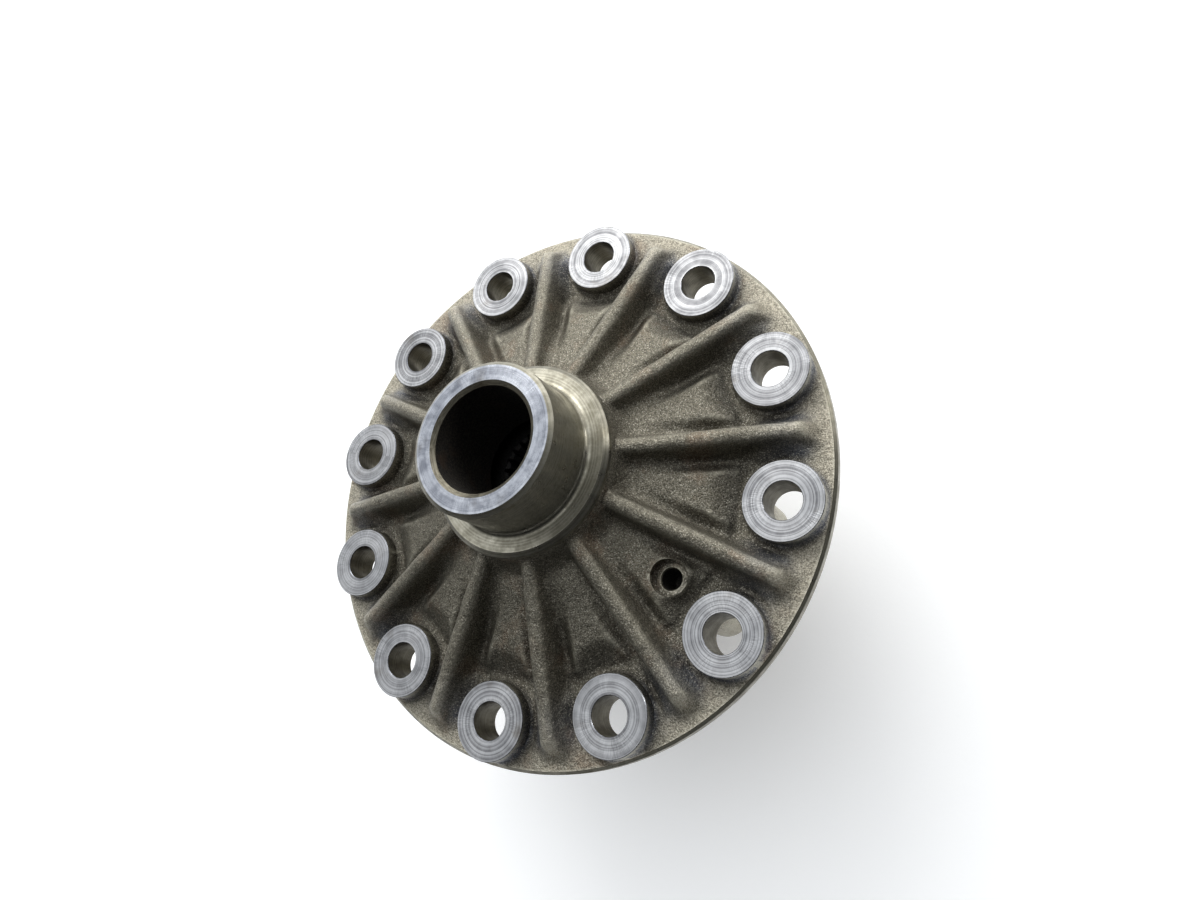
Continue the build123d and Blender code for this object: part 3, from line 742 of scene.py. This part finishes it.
def flange_casting():
    """The flange half: a lathe form with relief, its bosses and lug columns joined and its holes cut."""
    front_r = shoulder_r + 0.4
    rim_r = flange_r - turned_edge
    pilot_end = turned_edge - pilot_depth
    outline = hub_outline(hub_tip_z, shoulder_z)
    outline += along((front_r, flange_front_z), (rim_r, flange_front_z), "cast", 84)
    outline += along((rim_r, flange_front_z), (flange_r, flange_front_z - turned_edge), "turned")
    outline += along((flange_r, flange_front_z - turned_edge), (flange_r, flange_rim_z), "turned")
    outline += along((flange_r, flange_rim_z), (flange_r - flange_rim_z, 0), "turned")
    outline += along((flange_r - flange_rim_z, 0), (pilot_r, 0), "faced", 4)
    outline += along((pilot_r, 0), (pilot_r, pilot_end), "turned")
    outline += along((pilot_r, pilot_end), (pilot_r - turned_edge, -pilot_depth), "turned")
    outline += along((pilot_r - turned_edge, -pilot_depth), (lug_ring_r, -pilot_depth), "cast")
    outline += along((lug_ring_r, -pilot_depth), (lug_ring_r, split_z), "cast", 2)
    outline += along((lug_ring_r, split_z), (cavity_r, split_z), "faced", 2)
    outline += cavity_outline(split_z, hub_tip_z)
    piece = new_piece("flange_casting", lathe_mesh("flange_casting", outline, flange_relief))

    boss = [
        (boss_r + 0.5, 5.0),
        (boss_r, boss_face_z - machined_bevel),
        (boss_r - machined_bevel, boss_face_z),
        (0.5, boss_face_z),
    ]
    lug = [(lug_r, split_z), (lug_r, 4 - pilot_depth)]
    boss_places = polar_places(bolt_circle_r, bolt_count)
    lug_places = polar_places(lug_circle_r, bolt_count)
    added = [spun_solid(boss, place, 96, ["cast", "faced", "spot_faced"]) for place in boss_places]
    added += [spun_solid(lug, place, 48, ["cast"]) for place in lug_places]
    combine(piece, joined_mesh("flange_added", added), "UNION")

    mouth = boss_face_z - machined_bevel
    hole = [(bolt_hole_r, -1.0), (bolt_hole_r, mouth), (bolt_hole_r + 2, mouth + 2)]
    tapped = [(tapped_hole_r, split_z - 1), (tapped_hole_r, split_z + tapped_hole_depth)]
    cuts = [spun_solid(hole, place, 96, ["drilled", "faced"]) for place in boss_places]
    cuts += [spun_solid(tapped, place, 32, ["drilled"]) for place in lug_places]
    cuts += arm_bores(split_z)
    combine(piece, joined_mesh("flange_cuts", cuts), "DIFFERENCE")

    oil_place = Matrix.Translation((oil_hole_x, oil_hole_y, 0))
    pocket = [(8.0, oil_hole_z), (9.3, oil_hole_z + 1.4), (9.8, oil_hole_z + 9)]
    combine(piece, joined_mesh("oil_pocket", [spun_solid(pocket, oil_place, 48, ["cast"] * 2)]), "DIFFERENCE")
    oil_hole = [
        (oil_hole_r, oil_hole_z - oil_hole_depth),
        (oil_hole_r, oil_hole_z - 2 * machined_bevel),
        (oil_hole_r + 2, oil_hole_z + 2 - 2 * machined_bevel),
    ]
    hole_solid = spun_solid(oil_hole, oil_place, 48, ["bore", "drilled"])
    combine(piece, joined_mesh("oil_hole", [hole_solid]), "DIFFERENCE")
    return piece


def plain_casting():
    """The plain half, made tip upwards at its true place turned over, then turned half a turn about X."""
    tip, shoulder, split = -plain_tip_z, -plain_shoulder_z, -split_z
    ring_top = split + lug_thickness - lug_face_height
    lug_top = split + lug_thickness
    cone_slope = (cone_height - barrel_end) / (barrel_r - cone_r)
    edge_turn = degrees(pi / 2 - np.arctan(cone_slope))
    edge_r = barrel_r - barrel_fillet
    edge_inner = (edge_r + barrel_fillet * cos(radians(edge_turn)), 0)
    edge_height = barrel_end + cone_slope * (barrel_r - edge_inner[0])
    edge_middle = edge_height - barrel_fillet * sin(radians(edge_turn))
    front_r = shoulder_r + 0.4
    cone_start = (front_r, cone_height + cone_slope * (cone_r - front_r))

    outline = hub_outline(tip, shoulder)
    outline += along(cone_start, (edge_inner[0], edge_height), "cast", 30)
    outline += arc((edge_r, edge_middle), barrel_fillet, edge_turn, 0, "cast", 6)
    outline += along((barrel_r, edge_middle), (barrel_r, ring_top), "cast", 2)
    outline += along((barrel_r, ring_top), (lug_ring_r, ring_top), "cast")
    outline += along((lug_ring_r, ring_top), (lug_ring_r, split), "cast")
    outline += along((lug_ring_r, split), (cavity_r, split), "faced", 2)
    outline += cavity_outline(split, tip)
    piece = new_piece("plain_casting", lathe_mesh("plain_casting", outline, plain_relief))

    lug = [
        (lug_r, split),
        (lug_r, lug_top - machined_bevel),
        (lug_r - machined_bevel, lug_top),
        (0.5, lug_top),
    ]
    lug_places = polar_places(lug_circle_r, bolt_count)
    lugs = [spun_solid(lug, place, 48, ["cast", "faced", "faced"]) for place in lug_places]
    combine(piece, joined_mesh("plain_lugs", lugs), "UNION")

    hole = [(screw_hole_r, split - 1), (screw_hole_r, lug_top + 1)]
    cuts = [spun_solid(hole, place, 32, ["drilled"]) for place in lug_places]
    cuts += arm_bores(split)
    cuts += [
        slot_solid(window_length, window_height, window_inner_r, barrel_r + 9, place, 48)
        for place in (outward_place(pi / 2 * side, window_place) for side in range(4))
    ]
    combine(piece, joined_mesh("plain_cuts", cuts), "DIFFERENCE")
    piece.data.transform(Matrix.Rotation(pi, 4, "X"))
    return piece


def finish_piece(piece, node, sharp=radians(34)):
    """Smooth shading with sharp edges round the machined faces, then the piece's place in the model."""
    mesh = bmesh.new()
    mesh.from_mesh(piece.data)
    for edge in mesh.edges:
        first, second = edge.link_faces
        same = first.material_index == second.material_index
        edge.smooth = same and edge.calc_face_angle() < sharp
    for face in mesh.faces:
        face.smooth = True
    mesh.to_mesh(piece.data)
    mesh.free()
    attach(piece, "case")
    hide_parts(node)


finish_piece(flange_casting(), "flange_half")
finish_piece(plain_casting(), "plain_half")

# ---- finishes of the pieces that keep their CAD shapes ----

gear_steel = worked_metal(
    "gear_steel", (0.030, 0.029, 0.028), (0.12, 0.118, 0.115),
    0.40, 1.2, (0.05, 0.038, 0.022),
)
ground_steel = worked_metal(
    "spider_steel", (0.16, 0.16, 0.165), (0.40, 0.40, 0.405),
    0.30, 0.7, (0.17, 0.14, 0.09),
)
bronze = worked_metal(
    "thrust_bronze", (0.34, 0.20, 0.08), (0.66, 0.45, 0.20),
    0.32, 1.0, (0.20, 0.11, 0.05),
)
black_steel = worked_metal(
    "screw_steel", (0.035, 0.036, 0.04), (0.13, 0.13, 0.135),
    0.42, 1.5, (0.10, 0.06, 0.03), 0.9,
)
plated_steel = worked_metal(
    "washer_steel", (0.30, 0.30, 0.29), (0.60, 0.60, 0.57),
    0.36, 0.8, (0.26, 0.20, 0.12),
)
NODE_FINISHES = {
    "side_gear": gear_steel,
    "side_washer": bronze,
    "pinion_bush": bronze,
    "pinion_washer": bronze,
    "pinion": gear_steel,
    "spider": ground_steel,
    "case_screw_washers": plated_steel,
    "case_screws": black_steel,
}
for name, node in frame["nodes"].items():
    finish = next((made for part, made in NODE_FINISHES.items() if part in name), None)
    if finish is not None:
        for slot in node.material_slots:
            slot.material = finish

# ---- floor, lights and camera ----

floor_z = plain_tip_z * MM
floor_half = 4.0
corners = [(-1, -1), (1, -1), (1, 1), (-1, 1)]
floor_mesh = bpy.data.meshes.new("floor")
floor_mesh.from_pydata([(x * floor_half, y * floor_half, floor_z) for x, y in corners], [], [(0, 1, 2, 3)])
floor_mesh.materials.append(pale_floor())
new_piece("floor", floor_mesh)

KEY_WAY = Vector((-0.35, 0.70, 0.62)).normalized()
WALL_WAY = Vector((0.25, 0.93, 0.28)).normalized()
SIDE_WAY = Vector((0.68, 0.64, 0.36)).normalized()
GLOW_WAY = Vector((-0.36, 0.46, 0.81)).normalized()
GLOW_RANGE = (0.3, 1.0, 0.015, 1.8)
BACKDROP_STRENGTH = 0.9
LIGHT_DISTANCE = 1.8


def studio_world():
    """Soft surroundings, brightest high on the key light's side and dim opposite, with a pale backdrop."""
    world = bpy.data.worlds.new("studio")
    world.use_nodes = True
    bpy.context.scene.world = world
    nodes, links = world.node_tree.nodes, world.node_tree.links
    background = nodes["Background"]
    place = nodes.new("ShaderNodeTexCoord")
    towards_glow = nodes.new("ShaderNodeVectorMath")
    towards_glow.operation = "DOT_PRODUCT"
    towards_glow.inputs[1].default_value = GLOW_WAY
    links.new(place.outputs["Generated"], towards_glow.inputs[0])
    glow = nodes.new("ShaderNodeMapRange")
    glow.interpolation_type = "SMOOTHSTEP"
    for socket, value in zip(glow.inputs[1:5], GLOW_RANGE):
        socket.default_value = value
    links.new(towards_glow.outputs["Value"], glow.inputs[0])
    seen = nodes.new("ShaderNodeLightPath")
    strength = nodes.new("ShaderNodeMix")
    links.new(seen.outputs["Is Camera Ray"], strength.inputs[0])
    links.new(glow.outputs[0], strength.inputs[2])
    strength.inputs[3].default_value = BACKDROP_STRENGTH
    links.new(strength.outputs[0], background.inputs["Strength"])
    background.inputs["Color"].default_value = (0.94, 0.97, 1.0, 1)


def area_light(name, towards, distance, size, power, colour):
    """A square light in that direction from the origin, facing it."""
    data = bpy.data.lights.new(name, "AREA")
    data.energy = power
    data.size = size
    data.color = colour
    light = bpy.data.objects.new(name, data)
    light.location = towards * distance
    light.rotation_euler = (-towards).to_track_quat("-Z", "Y").to_euler()
    bpy.context.scene.collection.objects.link(light)


studio_world()
area_light("key", KEY_WAY, LIGHT_DISTANCE, 1.2, 21, (1.0, 0.985, 0.955))
area_light("wall", WALL_WAY, LIGHT_DISTANCE, 1.1, 7, (1.0, 0.99, 0.97))
area_light("side", SIDE_WAY, LIGHT_DISTANCE, 0.45, 5.0, (1.0, 0.99, 0.96))

camera_data = bpy.data.cameras.new("camera")
camera_data.lens = 25.0
camera_data.sensor_width = 36.0
camera = bpy.data.objects.new("camera", camera_data)
camera_right = Vector((0.86828, 0.21161, -0.44868))
camera_up = Vector((-0.07913, 0.95195, 0.29584))
camera_axes = (camera_right, camera_up, camera_right.cross(camera_up))
view = Matrix([[axis[n] for axis in camera_axes] for n in range(3)]).to_4x4()
view.translation = (0.24742, -0.08236, 0.39569)
camera.matrix_world = view
bpy.context.scene.collection.objects.link(camera)
bpy.context.scene.camera = camera
bpy.context.scene.view_settings.view_transform = "Standard"
